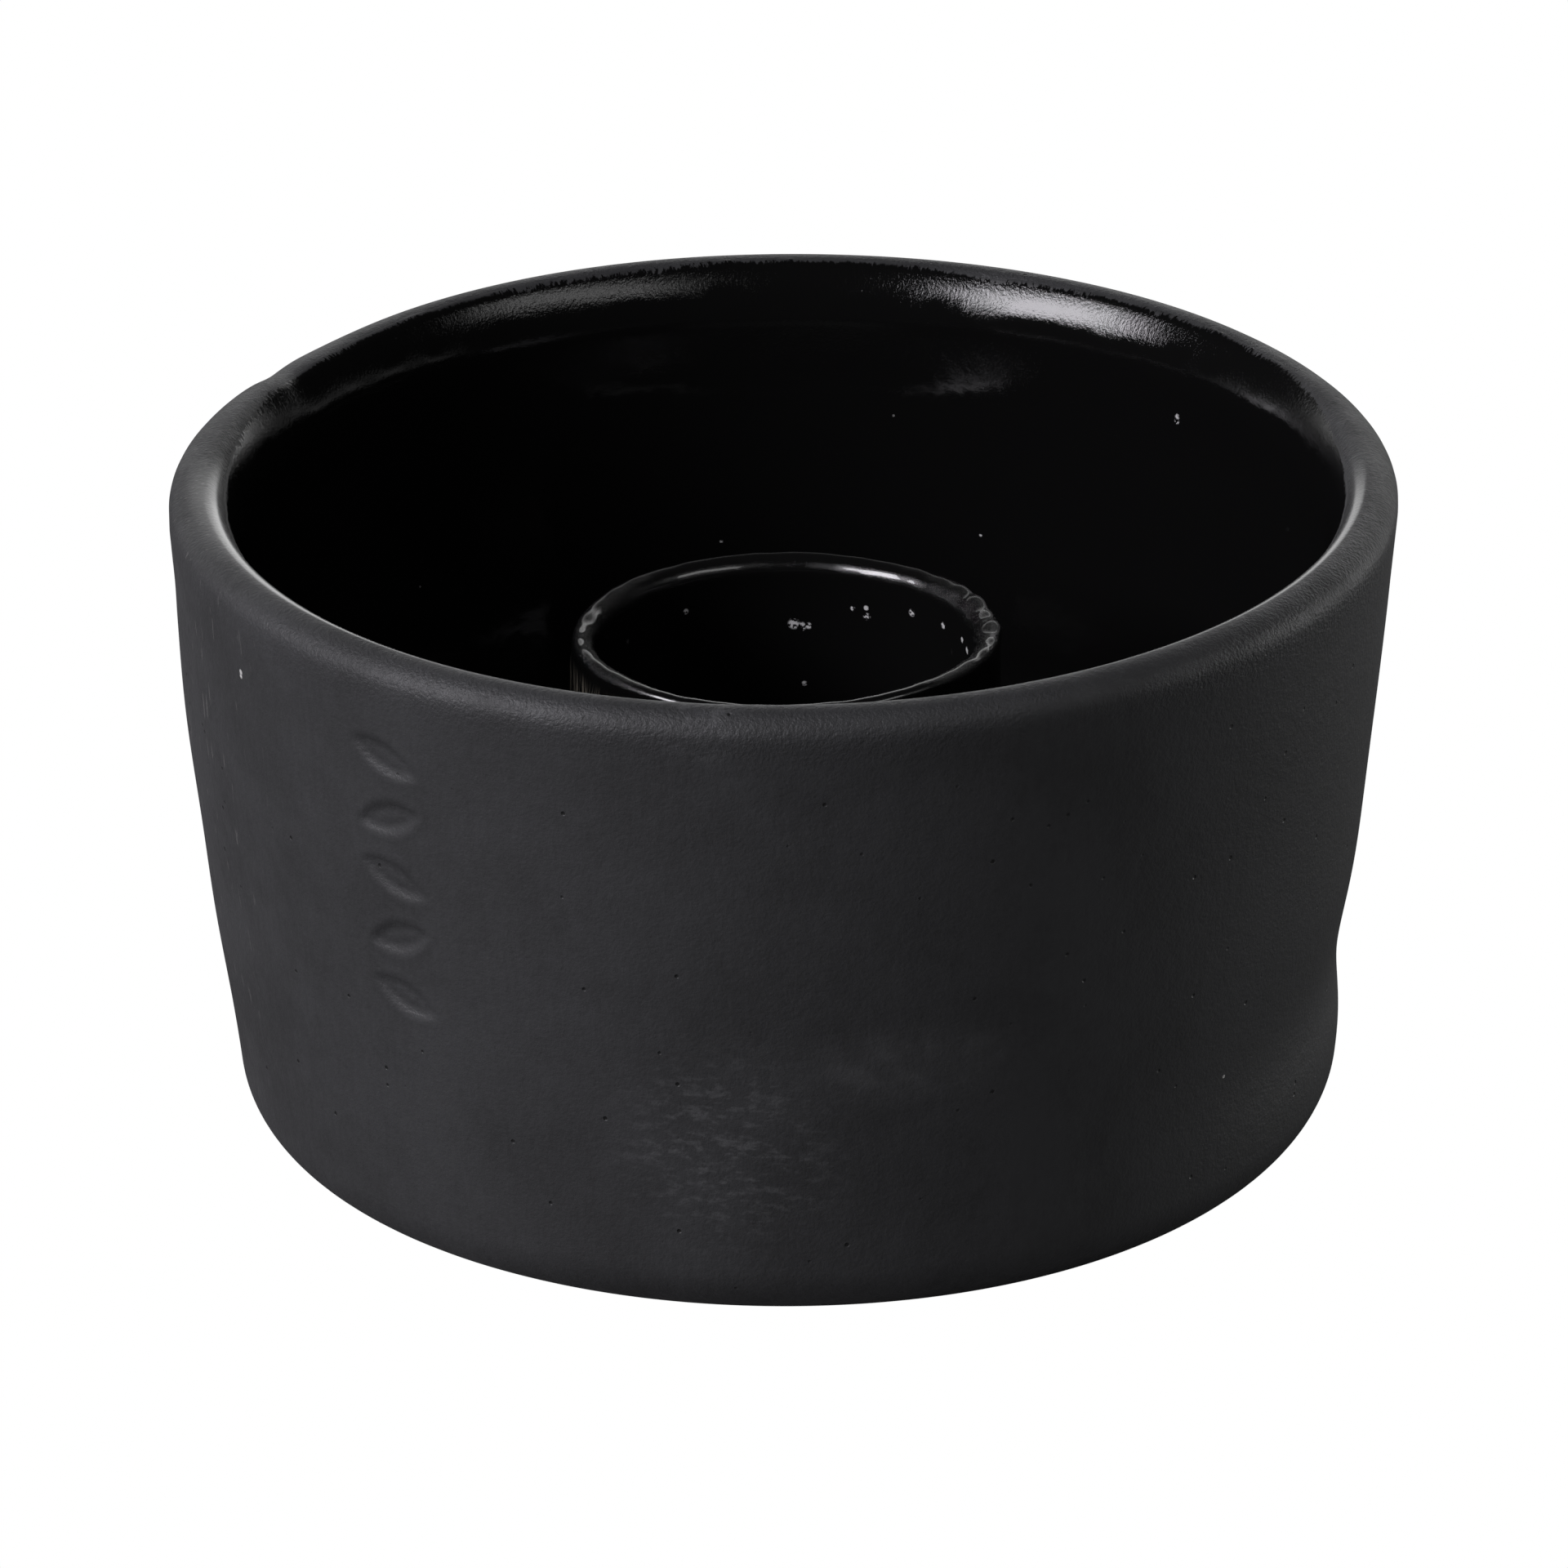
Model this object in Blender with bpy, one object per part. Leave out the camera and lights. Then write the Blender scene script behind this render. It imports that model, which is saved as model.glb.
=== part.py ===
"""A low black stoneware candle bowl with a candle cup luted in its middle.

The bowl, the cup, the bead of slip that joins them, the glaze coat that lines them and four felt feet
under the foot ring are separate solids. Metres, +Z up, origin on the table under the bowl's centre.
"""

from math import cos, hypot, pi, radians, sin, tan

import bmesh
import bpy

MM = 0.001

# Fit between pieces that touch on the real object.
GAP = 0.3 * MM

# Felt feet under the foot ring.
FELT_DIAMETER = 9.0 * MM
FELT_THICKNESS = 1.5 * MM
FELT_COUNT = 4
FELT_FIRST_ANGLE = radians(45.0)

# Bowl, in bare clay.
RIM_DIAMETER = 130.0 * MM
BOWL_HEIGHT = 72.0 * MM
WALL_THICKNESS = 6.8 * MM
WALL_FLARE = radians(5.6)
RIM_OUTER_ROUND = 2.9 * MM
RIM_INNER_ROUND = 2.5 * MM
LIP_EASE_START = radians(35.0)
BASE_EDGE_ROUND = 7.2 * MM
FLOOR_THICKNESS = 6.0 * MM
FLOOR_CORNER_ROUND = 11.0 * MM
FOOT_RING_WIDTH = 11.0 * MM
FOOT_RECESS_DEPTH = 1.2 * MM
FOOT_RECESS_SLOPE = 2.0 * MM

# Candle cup. The bore is what is left for a candle inside the glaze.
CUP_BORE = 40.2 * MM
CUP_TOP_HEIGHT = 53.5 * MM
CUP_RIM_WALL = 1.2 * MM
CUP_OUTER_DRAFT = radians(1.1)
CUP_INNER_DRAFT = radians(0.3)
CUP_FLOOR_THICKNESS = 4.0 * MM
CUP_FLOOR_CORNER_ROUND = 3.0 * MM
CUP_FOOT_CHAMFER = 0.4 * MM
CUP_SEAT_DEPTH = 1.0 * MM

# Slip bead between the cup's foot and the bowl's floor.
BEAD_ROUND = 5.0 * MM
BEAD_TOE = radians(30.0)

# Glaze coat. Its edge stops this far over the crest of the rim, on the inner side.
GLAZE_THICKNESS = 0.3 * MM
GLAZE_EDGE_ANGLE = radians(48.0)

# Facets.
TURN_STEPS = 40
FELT_STEPS = 20

# Levels and radii that follow from the sizes above.
FOOT_LEVEL = FELT_THICKNESS + GAP
RIM_LEVEL = FOOT_LEVEL + BOWL_HEIGHT
FLOOR_LEVEL = FOOT_LEVEL + FOOT_RECESS_DEPTH + FLOOR_THICKNESS
COAT = GAP + GLAZE_THICKNESS
CUP_CLAY_TOP = FOOT_LEVEL + CUP_TOP_HEIGHT - COAT
CUP_FOOT_LEVEL = FLOOR_LEVEL - CUP_SEAT_DEPTH + GAP
CUP_FLOOR_LEVEL = CUP_FOOT_LEVEL + CUP_FLOOR_THICKNESS
CUP_LIP_ROUND = CUP_RIM_WALL / 2
CUP_LIP_RADIUS = CUP_BORE / 2 + COAT + CUP_LIP_ROUND
CREST_RADIUS = RIM_DIAMETER / 2 - RIM_OUTER_ROUND

def arc(centre, radius, start, end, steps):
    """Points on an arc in the (radius, height) plane, from angle start to angle end."""
    turn = (end - start) / steps
    return [
        (centre[0] + radius * cos(start + turn * i), centre[1] + radius * sin(start + turn * i))
        for i in range(steps + 1)
    ]


def wall_radius(touch, lean, height):
    """Radius at a height of a straight wall through touch, which leans outwards as it rises."""
    return touch[0] + (height - touch[1]) * tan(lean)


def outer_wall_touch():
    """Where the rim's outer round meets the outer wall."""
    return (
        CREST_RADIUS + RIM_OUTER_ROUND * cos(WALL_FLARE),
        RIM_LEVEL - RIM_OUTER_ROUND - RIM_OUTER_ROUND * sin(WALL_FLARE),
    )


def base_edge_centre():
    """Centre of the round that joins the outer wall to the foot."""
    height = FOOT_LEVEL + BASE_EDGE_ROUND
    radius = wall_radius(outer_wall_touch(), WALL_FLARE, height) - BASE_EDGE_ROUND / cos(WALL_FLARE)
    return radius, height


def lip_ease_round():
    """Radius of the easing under the rim, which leaves the wall its thickness."""
    swept = cos(pi / 2 - LIP_EASE_START - WALL_FLARE)
    outer = RIM_OUTER_ROUND * (1 + sin(WALL_FLARE))
    inner = RIM_INNER_ROUND * (swept - sin(WALL_FLARE))
    return (WALL_THICKNESS - outer - inner) / (1 - swept)


def lip_ease_centre():
    """Centre of the easing, which carries on smoothly from the rim's inner round."""
    beyond = RIM_INNER_ROUND - lip_ease_round()
    angle = pi / 2 + LIP_EASE_START
    return CREST_RADIUS + beyond * cos(angle), RIM_LEVEL - RIM_INNER_ROUND + beyond * sin(angle)


def lip_ease(start, steps):
    """The long easing under the rim, from angle start down to the inner wall."""
    return arc(lip_ease_centre(), lip_ease_round(), start, pi - WALL_FLARE, steps)


def inner_wall_touch():
    """Where the easing meets the inner wall."""
    return lip_ease(pi / 2, 1)[-1]


def floor_corner():
    """The concave round between the inner wall and the floor, from the wall to the floor."""
    height = FLOOR_LEVEL + FLOOR_CORNER_ROUND
    radius = wall_radius(inner_wall_touch(), WALL_FLARE, height) - FLOOR_CORNER_ROUND / cos(WALL_FLARE)
    return arc((radius, height), FLOOR_CORNER_ROUND, -WALL_FLARE, -pi / 2, 5)


def cup_lip_centre():
    return CUP_LIP_RADIUS, CUP_CLAY_TOP - CUP_LIP_ROUND


def cup_outer_radius(height):
    """Radius of the cup's outer wall, which widens downwards."""
    centre = cup_lip_centre()
    touch = (
        centre[0] + CUP_LIP_ROUND * cos(CUP_OUTER_DRAFT),
        centre[1] + CUP_LIP_ROUND * sin(CUP_OUTER_DRAFT),
    )
    return wall_radius(touch, -CUP_OUTER_DRAFT, height)


def cup_lip(steps):
    """The cup's rounded lip, from its outer wall over the top to its inner wall."""
    return arc(cup_lip_centre(), CUP_LIP_ROUND, CUP_OUTER_DRAFT, pi - CUP_INNER_DRAFT, steps)


def cup_floor_corner():
    """The concave round between the cup's inner wall and its floor, from the wall to the floor."""
    centre = cup_lip_centre()
    touch = (
        centre[0] - CUP_LIP_ROUND * cos(CUP_INNER_DRAFT),
        centre[1] + CUP_LIP_ROUND * sin(CUP_INNER_DRAFT),
    )
    height = CUP_FLOOR_LEVEL + CUP_FLOOR_CORNER_ROUND
    radius = wall_radius(touch, CUP_INNER_DRAFT, height) - CUP_FLOOR_CORNER_ROUND / cos(CUP_INNER_DRAFT)
    return arc((radius, height), CUP_FLOOR_CORNER_ROUND, -CUP_INNER_DRAFT, -pi / 2, 3)


def bead_face(toe, steps):
    """The bead's concave face, from the floor up to the cup's wall, leaving out toe at each end."""
    height = FLOOR_LEVEL + BEAD_ROUND
    centre = (cup_outer_radius(height) + BEAD_ROUND / cos(CUP_OUTER_DRAFT), height)
    return arc(centre, BEAD_ROUND, -pi / 2 - toe, -pi - CUP_OUTER_DRAFT + toe, steps)


def offset(path, distance):
    """The path moved sideways, to the right of its direction."""
    moved = []
    for i, (radius, height) in enumerate(path):
        before = path[max(i - 1, 0)]
        after = path[min(i + 1, len(path) - 1)]
        along = (after[0] - before[0], after[1] - before[1])
        length = hypot(*along)
        moved.append((radius + along[1] / length * distance, height - along[0] / length * distance))
    return moved


def plain_material(name, colour, roughness):
    material = bpy.data.materials.new(name)
    material.use_nodes = True
    shader = material.node_tree.nodes["Principled BSDF"]
    shader.inputs["Base Color"].default_value = (*colour, 1.0)
    shader.inputs["Roughness"].default_value = roughness
    shader.inputs["Metallic"].default_value = 0.0
    return material


def turned(name, outline, material, ring=False):
    """A solid turned about +Z. The outline runs from axis to axis, or round to its start for a ring."""
    mesh_builder = bmesh.new()
    corners = [mesh_builder.verts.new((radius, 0.0, height)) for radius, height in outline]
    pairs = list(zip(corners, corners[1:]))
    if ring:
        pairs.append((corners[-1], corners[0]))
    edges = [mesh_builder.edges.new(pair) for pair in pairs]
    bmesh.ops.spin(
        mesh_builder,
        geom=corners + edges,
        cent=(0, 0, 0),
        axis=(0, 0, 1),
        angle=2 * pi,
        steps=TURN_STEPS,
    )
    bmesh.ops.remove_doubles(mesh_builder, verts=mesh_builder.verts, dist=1e-6)
    bmesh.ops.recalc_face_normals(mesh_builder, faces=mesh_builder.faces)
    mesh = bpy.data.meshes.new(name)
    mesh_builder.to_mesh(mesh)
    mesh_builder.free()
    mesh.shade_smooth()
    mesh.set_sharp_from_angle(angle=radians(35))
    mesh.materials.append(material)
    part = bpy.data.objects.new(name, mesh)
    bpy.context.scene.collection.objects.link(part)
    return part


def bowl_body(clay):
    """Flared bowl with a foot ring, a rounded base edge, a thick rounded rim and a seat for the cup."""
    foot_outer = base_edge_centre()[0]
    foot_inner = foot_outer - FOOT_RING_WIDTH
    recess_level = FOOT_LEVEL + FOOT_RECESS_DEPTH
    seat_radius = cup_outer_radius(FLOOR_LEVEL) + GAP
    seat_level = FLOOR_LEVEL - CUP_SEAT_DEPTH
    outline = [(0.0, recess_level), (foot_inner - FOOT_RECESS_SLOPE, recess_level), (foot_inner, FOOT_LEVEL)]
    outline += arc(base_edge_centre(), BASE_EDGE_ROUND, -pi / 2, -WALL_FLARE, 6)
    outline += arc((CREST_RADIUS, RIM_LEVEL - RIM_OUTER_ROUND), RIM_OUTER_ROUND, -WALL_FLARE, pi / 2, 5)
    inner_round = ((CREST_RADIUS, RIM_LEVEL - RIM_INNER_ROUND), RIM_INNER_ROUND)
    outline += arc(*inner_round, pi / 2, pi / 2 + LIP_EASE_START, 2)[1:]
    outline += lip_ease(pi / 2 + LIP_EASE_START, 4)[1:]
    outline += floor_corner()
    outline += [(seat_radius, FLOOR_LEVEL), (seat_radius, seat_level), (0.0, seat_level)]
    return turned("bowl_body", outline, clay)


def candle_cup(clay):
    """Thin-walled cup whose foot stands in the seat in the bowl's floor."""
    foot_radius = cup_outer_radius(CUP_FOOT_LEVEL)
    outline = [(0.0, CUP_FOOT_LEVEL), (foot_radius - CUP_FOOT_CHAMFER, CUP_FOOT_LEVEL)]
    outline += [(foot_radius, CUP_FOOT_LEVEL + CUP_FOOT_CHAMFER)]
    outline += cup_lip(5)
    outline += cup_floor_corner()
    outline += [(0.0, CUP_FLOOR_LEVEL)]
    return turned("candle_cup", outline, clay)


def slip_bead(slip):
    """Fillet of slip, smoothed by a finger, that lutes the cup's foot to the floor."""
    face = bead_face(BEAD_TOE, 4)
    bottom = FLOOR_LEVEL + GAP
    inside_low = cup_outer_radius(bottom) + GAP
    inside_high = cup_outer_radius(face[-1][1]) + GAP
    outline = [(inside_low, bottom), (face[0][0], bottom)] + face + [(inside_high, face[-1][1])]
    return turned("slip_bead", outline, slip, ring=True)


def glazed_path():
    """Everything that the glaze covers: bowl lining, floor, bead, and the cup outside and in."""
    path = lip_ease(pi / 2 + GLAZE_EDGE_ANGLE, 3)
    path += floor_corner()
    path += bead_face(0.0, 5)
    path += cup_lip(6)
    path += cup_floor_corner()
    path += [(0.0, CUP_FLOOR_LEVEL)]
    return path


def glaze_coat(glaze):
    """One continuous coat of glass over all that glazed_path names."""
    path = glazed_path()
    under = offset(path, GAP)
    surface = offset(path, COAT)
    return turned("glaze_coat", under[::-1] + surface, glaze)


def felt_feet(felt):
    """Felt discs stuck to the middle of the foot ring."""
    radius = base_edge_centre()[0] - FOOT_RING_WIDTH / 2
    for i in range(FELT_COUNT):
        angle = FELT_FIRST_ANGLE + 2 * pi * i / FELT_COUNT
        bpy.ops.mesh.primitive_cylinder_add(
            vertices=FELT_STEPS,
            radius=FELT_DIAMETER / 2,
            depth=FELT_THICKNESS,
            location=(radius * cos(angle), radius * sin(angle), FELT_THICKNESS / 2),
        )
        foot = bpy.context.object
        foot.name = f"felt_foot_{i + 1}"
        foot.data.name = foot.name
        foot.data.materials.append(felt)
        foot.data.shade_smooth()
        foot.data.set_sharp_from_angle(angle=radians(35))


for leftover in list(bpy.data.objects):
    bpy.data.objects.remove(leftover)

black_clay = plain_material("black_stoneware", (0.036, 0.037, 0.041), 0.62)
black_slip = plain_material("black_slip", (0.030, 0.030, 0.032), 0.55)
black_glaze = plain_material("black_glaze", (0.004, 0.004, 0.004), 0.10)
dark_felt = plain_material("dark_felt", (0.030, 0.030, 0.032), 0.95)

bowl_body(black_clay)
candle_cup(black_clay)
slip_bead(black_slip)
glaze_coat(black_glaze)
felt_feet(dark_felt)
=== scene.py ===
"""A low black stoneware candle bowl with a glazed candle cup in its middle.

Sizes are in millimetres and angles in degrees; only the mesh makers write metres. Angle 0 is the
bowl's right side, and angles run anticlockwise seen from above.
"""

import bpy
import numpy as np
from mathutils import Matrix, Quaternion, Vector


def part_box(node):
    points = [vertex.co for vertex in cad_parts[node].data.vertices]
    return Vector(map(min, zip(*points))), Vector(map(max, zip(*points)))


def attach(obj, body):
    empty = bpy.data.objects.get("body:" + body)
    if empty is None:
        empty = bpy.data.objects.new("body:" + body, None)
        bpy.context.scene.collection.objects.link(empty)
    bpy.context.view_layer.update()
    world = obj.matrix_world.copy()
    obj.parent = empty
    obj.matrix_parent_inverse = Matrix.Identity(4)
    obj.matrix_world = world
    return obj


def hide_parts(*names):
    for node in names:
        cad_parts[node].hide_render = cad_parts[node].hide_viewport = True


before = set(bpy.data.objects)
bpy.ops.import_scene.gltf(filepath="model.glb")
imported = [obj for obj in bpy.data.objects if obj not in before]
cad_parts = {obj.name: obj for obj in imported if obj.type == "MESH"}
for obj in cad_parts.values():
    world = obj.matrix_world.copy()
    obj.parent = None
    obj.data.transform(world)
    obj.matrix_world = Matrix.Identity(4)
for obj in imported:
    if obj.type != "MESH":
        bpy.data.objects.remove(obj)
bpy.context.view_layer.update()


# ---------------------------------------------------------------------------------------------
# Bowl body. Black stoneware cast in a plaster mould in one piece, with a thick rounded rim, then
# sponged by hand and left bare outside. Five seeds are pressed into its left front, one above
# the other, where a maker would press a stamp.

MM = 0.001
FOOT, RIM = (corner.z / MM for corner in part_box("bowl_body"))
RIM_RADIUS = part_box("bowl_body")[1].x / MM
WALL_LEAN = 5.6
RIM_OUTER_ROUND = 2.9
RIM_INNER_ROUND = 1.95
LIP_ROUND = 12.5
LIP_START = 144.0
BASE_ROUND = 7.2
FLOOR = FOOT + 7.2
CORNER_ROUND = 11.0
FOOT_RING_WIDTH = 11.0
FOOT_RECESS = 1.2
CREST = RIM_RADIUS - RIM_OUTER_ROUND
LIP_CENTRE = (
    CREST + (RIM_INNER_ROUND - LIP_ROUND) * np.cos(np.radians(LIP_START)),
    RIM - RIM_INNER_ROUND + (RIM_INNER_ROUND - LIP_ROUND) * np.sin(np.radians(LIP_START)),
)
CUP_FOOT = FLOOR - 0.7
CUP_TOP = FOOT + 53.5
CUP_EDGE = 28.0
WELL_EDGE = 42.0
MARGIN = 0.01

# Where the bowl strays from a true one: millimetres outwards, the angle and the spread round the
# bowl, then the height above the foot and the spread up it.
BULGES = (
    (1.00, 180, 42, 46, 15),
    (0.60, 180, 42, 25, 11),
    (-1.00, 0, 42, 19, 8),
    (0.30, 0, 42, 10, 5),
    (0.12, 0, 42, 54, 12),
    (0.35, -62, 30, 4, 8),
    (-0.80, 144, 18, 72, 14),
)
RIM_PULLED_IN = ((0.85, 180, 38), (0.30, 0, 50))
RIM_DIPS = ((0.40, 151, 2.6), (0.12, 143, 7))
BOWL_HEIGHT = 72
CUP_TILT = (0.010, -0.0236)
CUP_RISE = 0.45

SEED_ANGLE = -130.0
SEED_HEIGHTS = (33.0, 40.0, 47.0, 54.0, 61.0)
SEED_LENGTH = 9.4
SEED_WIDTH = 4.0
SEED_DEPTH = 0.45
SEED_SLANT = 18.0


def arc(centre, radius, start, end, count=24):
    """Points on an arc in the (radius, height) plane."""
    turn = np.radians(np.linspace(start, end, count))
    return np.column_stack((centre[0] + radius * np.cos(turn), centre[1] + radius * np.sin(turn)))


def leaning(touch, lean, height):
    """The point at a height of a straight wall through touch, which leans outwards as it rises."""
    return touch[0] + (height - touch[1]) * np.tan(np.radians(lean)), height


def spaced(path, gap):
    """The path with its points an even gap apart."""
    run = np.concatenate(([0.0], np.cumsum(np.hypot(*np.diff(path, axis=0).T))))
    steps = np.linspace(0.0, run[-1], max(2, round(run[-1] / gap) + 1))
    return np.column_stack([np.interp(steps, run, column) for column in path.T])


def hump(value, middle, width):
    """A smooth hump, 1 at its middle, which fades out over its width."""
    return np.exp(-(((value - middle) / width) ** 2))


def around(angle, middle, width):
    """A hump round the bowl."""
    return hump((angle - middle + 180.0) % 360.0 - 180.0, 0.0, width)


def eased(value, low, high):
    """0 up to low, 1 from high, and a smooth rise between them."""
    part = np.clip((value - low) / (high - low), 0.0, 1.0)
    return part * part * (3.0 - 2.0 * part)


def waves(angle, counts, turn):
    """Fixed ripples round the bowl, between about -1 and 1, which close up on themselves."""
    total = sum(np.sin(np.radians(angle * n) + turn * n + n * n) for n in counts)
    return total / len(counts) ** 0.5


def as_made(angle, radius, height):
    """Where a point of the true turned shape lies on this hand-finished one."""
    up = height - FOOT
    over_rim = (1 - eased(radius, CREST + 0.6, RIM_RADIUS - 0.3)) * eased(up, 58, 66)
    bowl_out = sum(
        amount * around(angle, turn, spread) * hump(up, level, reach)
        for amount, turn, spread, level, reach in BULGES
    )
    pulled_in = sum(amount * around(angle, turn, spread) for amount, turn, spread in RIM_PULLED_IN)
    bowl_out = bowl_out - pulled_in * over_rim
    bowl_out = bowl_out + 0.06 * waves(angle, (2, 3, 5), 0.7) * hump(up, 36, 18)
    dips = sum(amount * around(angle, turn, spread) for amount, turn, spread in RIM_DIPS)
    bowl_up = -dips * hump(up, BOWL_HEIGHT, 6)
    bowl_up += 0.03 * (waves(angle, (3, 4, 7), 0.3) - 1.7) * hump(up, BOWL_HEIGHT, 9)
    share = np.clip((height - FLOOR) / (CUP_TOP - FLOOR), 0.0, 1.1)
    cup_out = share * (
        0.10 * np.cos(np.radians(angle)) + 0.18
        + 0.16 * np.cos(np.radians(2 * angle + 40))
        + 0.10 * waves(angle, (3, 5), 1.9)
    )
    tilt = CUP_TILT[0] * np.cos(np.radians(angle)) + CUP_TILT[1] * np.sin(np.radians(angle))
    cup_up = share * (radius * tilt + CUP_RISE)
    cup_up += share * 0.10 * waves(angle, (3, 4, 6), 2.2)
    bowl_share = eased(radius, CUP_EDGE, WELL_EDGE)
    out = bowl_share * bowl_out + (1 - bowl_share) * cup_out * eased(radius, 0.0, 12.0)
    lift = bowl_share * bowl_up + (1 - bowl_share) * cup_up
    return np.minimum(radius + out, RIM_RADIUS - MARGIN), np.minimum(height + lift, RIM - MARGIN)


def turned(name, outline, angles, shape=as_made, ring=False):
    """A solid turned about the upright axis, from an outline that runs from axis to axis, or, for
    a ring, round to its start. Shape puts each point in its place."""
    count, last = len(angles), len(outline)
    angle = np.repeat(np.asarray(angles)[:, None], last, axis=1)
    radius, height = shape(angle, np.tile(outline[:, 0], (count, 1)), np.tile(outline[:, 1], (count, 1)))
    spin = np.radians(angle)
    points = np.stack((radius * np.cos(spin), radius * np.sin(spin), height), axis=2) * MM
    here = np.arange(count)[:, None] * last
    beyond = (np.arange(count)[:, None] + 1) % count * last
    along = np.arange(last if ring else last - 1)[None, :]
    following = (along + 1) % last
    faces = np.stack((here + along, beyond + along, beyond + following, here + following), axis=2)
    mesh = bpy.data.meshes.new(name)
    mesh.from_pydata(points.reshape(-1, 3), [], faces.reshape(-1, 4))
    piece = bpy.data.objects.new(name, mesh)
    bpy.context.scene.collection.objects.link(piece)
    return piece


def closed(piece):
    """Joins what meets at the axis, and smooths the shading."""
    bpy.context.view_layer.objects.active = piece
    bpy.ops.object.select_all(action="DESELECT")
    piece.select_set(True)
    bpy.ops.object.mode_set(mode="EDIT")
    bpy.ops.mesh.select_all(action="SELECT")
    bpy.ops.mesh.remove_doubles(threshold=1e-7)
    bpy.ops.mesh.dissolve_degenerate(threshold=1e-8)
    bpy.ops.object.mode_set(mode="OBJECT")
    piece.data.shade_smooth()
    return piece


def seeds(angle, height):
    """How deep the pressed seeds go, with the clay pushed up a little round each."""
    depth = np.zeros_like(angle)
    across = np.radians((angle - SEED_ANGLE + 180) % 360 - 180) * (RIM_RADIUS - 2)
    for count, middle in enumerate(SEED_HEIGHTS):
        slant = np.radians(SEED_SLANT if count % 2 else -SEED_SLANT)
        upward = height - FOOT - middle
        length = across * np.cos(slant) + upward * np.sin(slant)
        width = upward * np.cos(slant) - across * np.sin(slant)
        half = SEED_WIDTH / 2 * (1 - (length / (SEED_LENGTH / 2)) ** 2)
        inside = (half - np.abs(width)) / (SEED_WIDTH / 2)
        near = np.maximum(np.abs(across), np.abs(upward)) < SEED_LENGTH
        pressed = SEED_DEPTH * eased(inside, -0.05, 0.55) - 0.07 * hump(inside, -0.16, 0.16)
        vein = 0.16 * hump(width, 0.0, 0.28) * eased(inside, 0.2, 0.6)
        depth += np.where(near, pressed - vein, 0.0)
    return depth


def body_as_made(angle, radius, height):
    """The body's points, with the seeds pressed into the outside of its wall."""
    radius, height = as_made(angle, radius, height)
    outside = radius > leaning(outer_touch, WALL_LEAN, height)[0] - 2.5
    return radius - np.where(outside, seeds(angle, height), 0.0), height


outer_touch = arc((CREST, RIM - RIM_OUTER_ROUND), RIM_OUTER_ROUND, -WALL_LEAN, 90.0)[0]
base_height = FOOT + BASE_ROUND
base_radius = leaning(outer_touch, WALL_LEAN, base_height)[0]
base_radius -= BASE_ROUND / np.cos(np.radians(WALL_LEAN))
inner_touch = arc(LIP_CENTRE, LIP_ROUND, LIP_START, 180.0 - WALL_LEAN)[-1]
corner_height = FLOOR + CORNER_ROUND
corner_radius = leaning(inner_touch, WALL_LEAN, corner_height)[0]
corner_radius -= CORNER_ROUND / np.cos(np.radians(WALL_LEAN))
floor_corner = arc((corner_radius, corner_height), CORNER_ROUND, -WALL_LEAN, -90.0)
lip_round = np.vstack((
    arc((CREST, RIM - RIM_INNER_ROUND), RIM_INNER_ROUND, 90.0, LIP_START),
    arc(LIP_CENTRE, LIP_ROUND, LIP_START, 180.0 - WALL_LEAN)[1:],
))
foot_inner = base_radius - FOOT_RING_WIDTH
underside = np.array((
    (0.0, FOOT + FOOT_RECESS),
    (foot_inner - 2.0, FOOT + FOOT_RECESS),
    (foot_inner - 1.5, FOOT + FOOT_RECESS - 0.15),
    (foot_inner - 0.5, FOOT + 0.15),
    (foot_inner, FOOT),
    (base_radius, FOOT),
))
outside = np.vstack((
    arc((base_radius, base_height), BASE_ROUND, -90.0, -WALL_LEAN),
    arc((CREST, RIM - RIM_OUTER_ROUND), RIM_OUTER_ROUND, -WALL_LEAN, 90.0),
    lip_round[1:],
))
body_outline = np.vstack((
    spaced(underside, 2.5),
    spaced(outside, 0.5)[1:],
    spaced(np.vstack((lip_round[-1:], floor_corner)), 3.0)[1:],
    spaced(np.array((floor_corner[-1], (0.0, FLOOR))), 5.0)[1:],
))
# Columns of points stand a degree apart, with more between them where the seeds are.
body_angles = np.sort(np.concatenate((
    np.arange(0.0, 360.0, 1.0),
    SEED_ANGLE + 360.0 + np.setdiff1d(np.round(np.arange(-6.4, 6.4, 0.4), 1), np.arange(-6.0, 7.0)),
)))
bowl_body = closed(turned("bowl_body_stoneware", body_outline, body_angles, body_as_made))


def add(tree, kind, inputs=(), **settings):
    """A node with its settings made, and each input linked or set."""
    node = tree.nodes.new("ShaderNode" + kind)
    for name, value in settings.items():
        setattr(node, name, value)
    for name, value in dict(inputs).items():
        if isinstance(value, bpy.types.NodeSocket):
            tree.links.new(value, node.inputs[name])
        else:
            node.inputs[name].default_value = value
    return node


def maths(tree, operation, *values):
    return add(tree, "Math", enumerate(values), operation=operation).outputs[0]


def ramp(tree, value, low, high, start=0.0, end=1.0):
    """The value carried smoothly from low..high to start..end."""
    inputs = enumerate((value, low, high, start, end))
    return add(tree, "MapRange", inputs, interpolation_type="SMOOTHSTEP").outputs[0]


def tinted(tree, amount, first, second):
    """The first colour, with that amount of the second."""
    inputs = {0: amount, 6: first, 7: second}
    return add(tree, "Mix", inputs, data_type="RGBA").outputs[2]


def grey(value, warm=0.0):
    """A nearly neutral colour, redder for a positive warm and bluer for a negative one."""
    return value * (1 + warm / 2), value, value * (1 - warm), 1.0


def noise(tree, place, size, detail=2.0, roughness=0.5):
    """Noise whose patches are about size millimetres across."""
    inputs = {"Vector": place, "Scale": 1 / (size * MM), "Detail": detail, "Roughness": roughness}
    return add(tree, "TexNoise", inputs).outputs[0]


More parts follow.
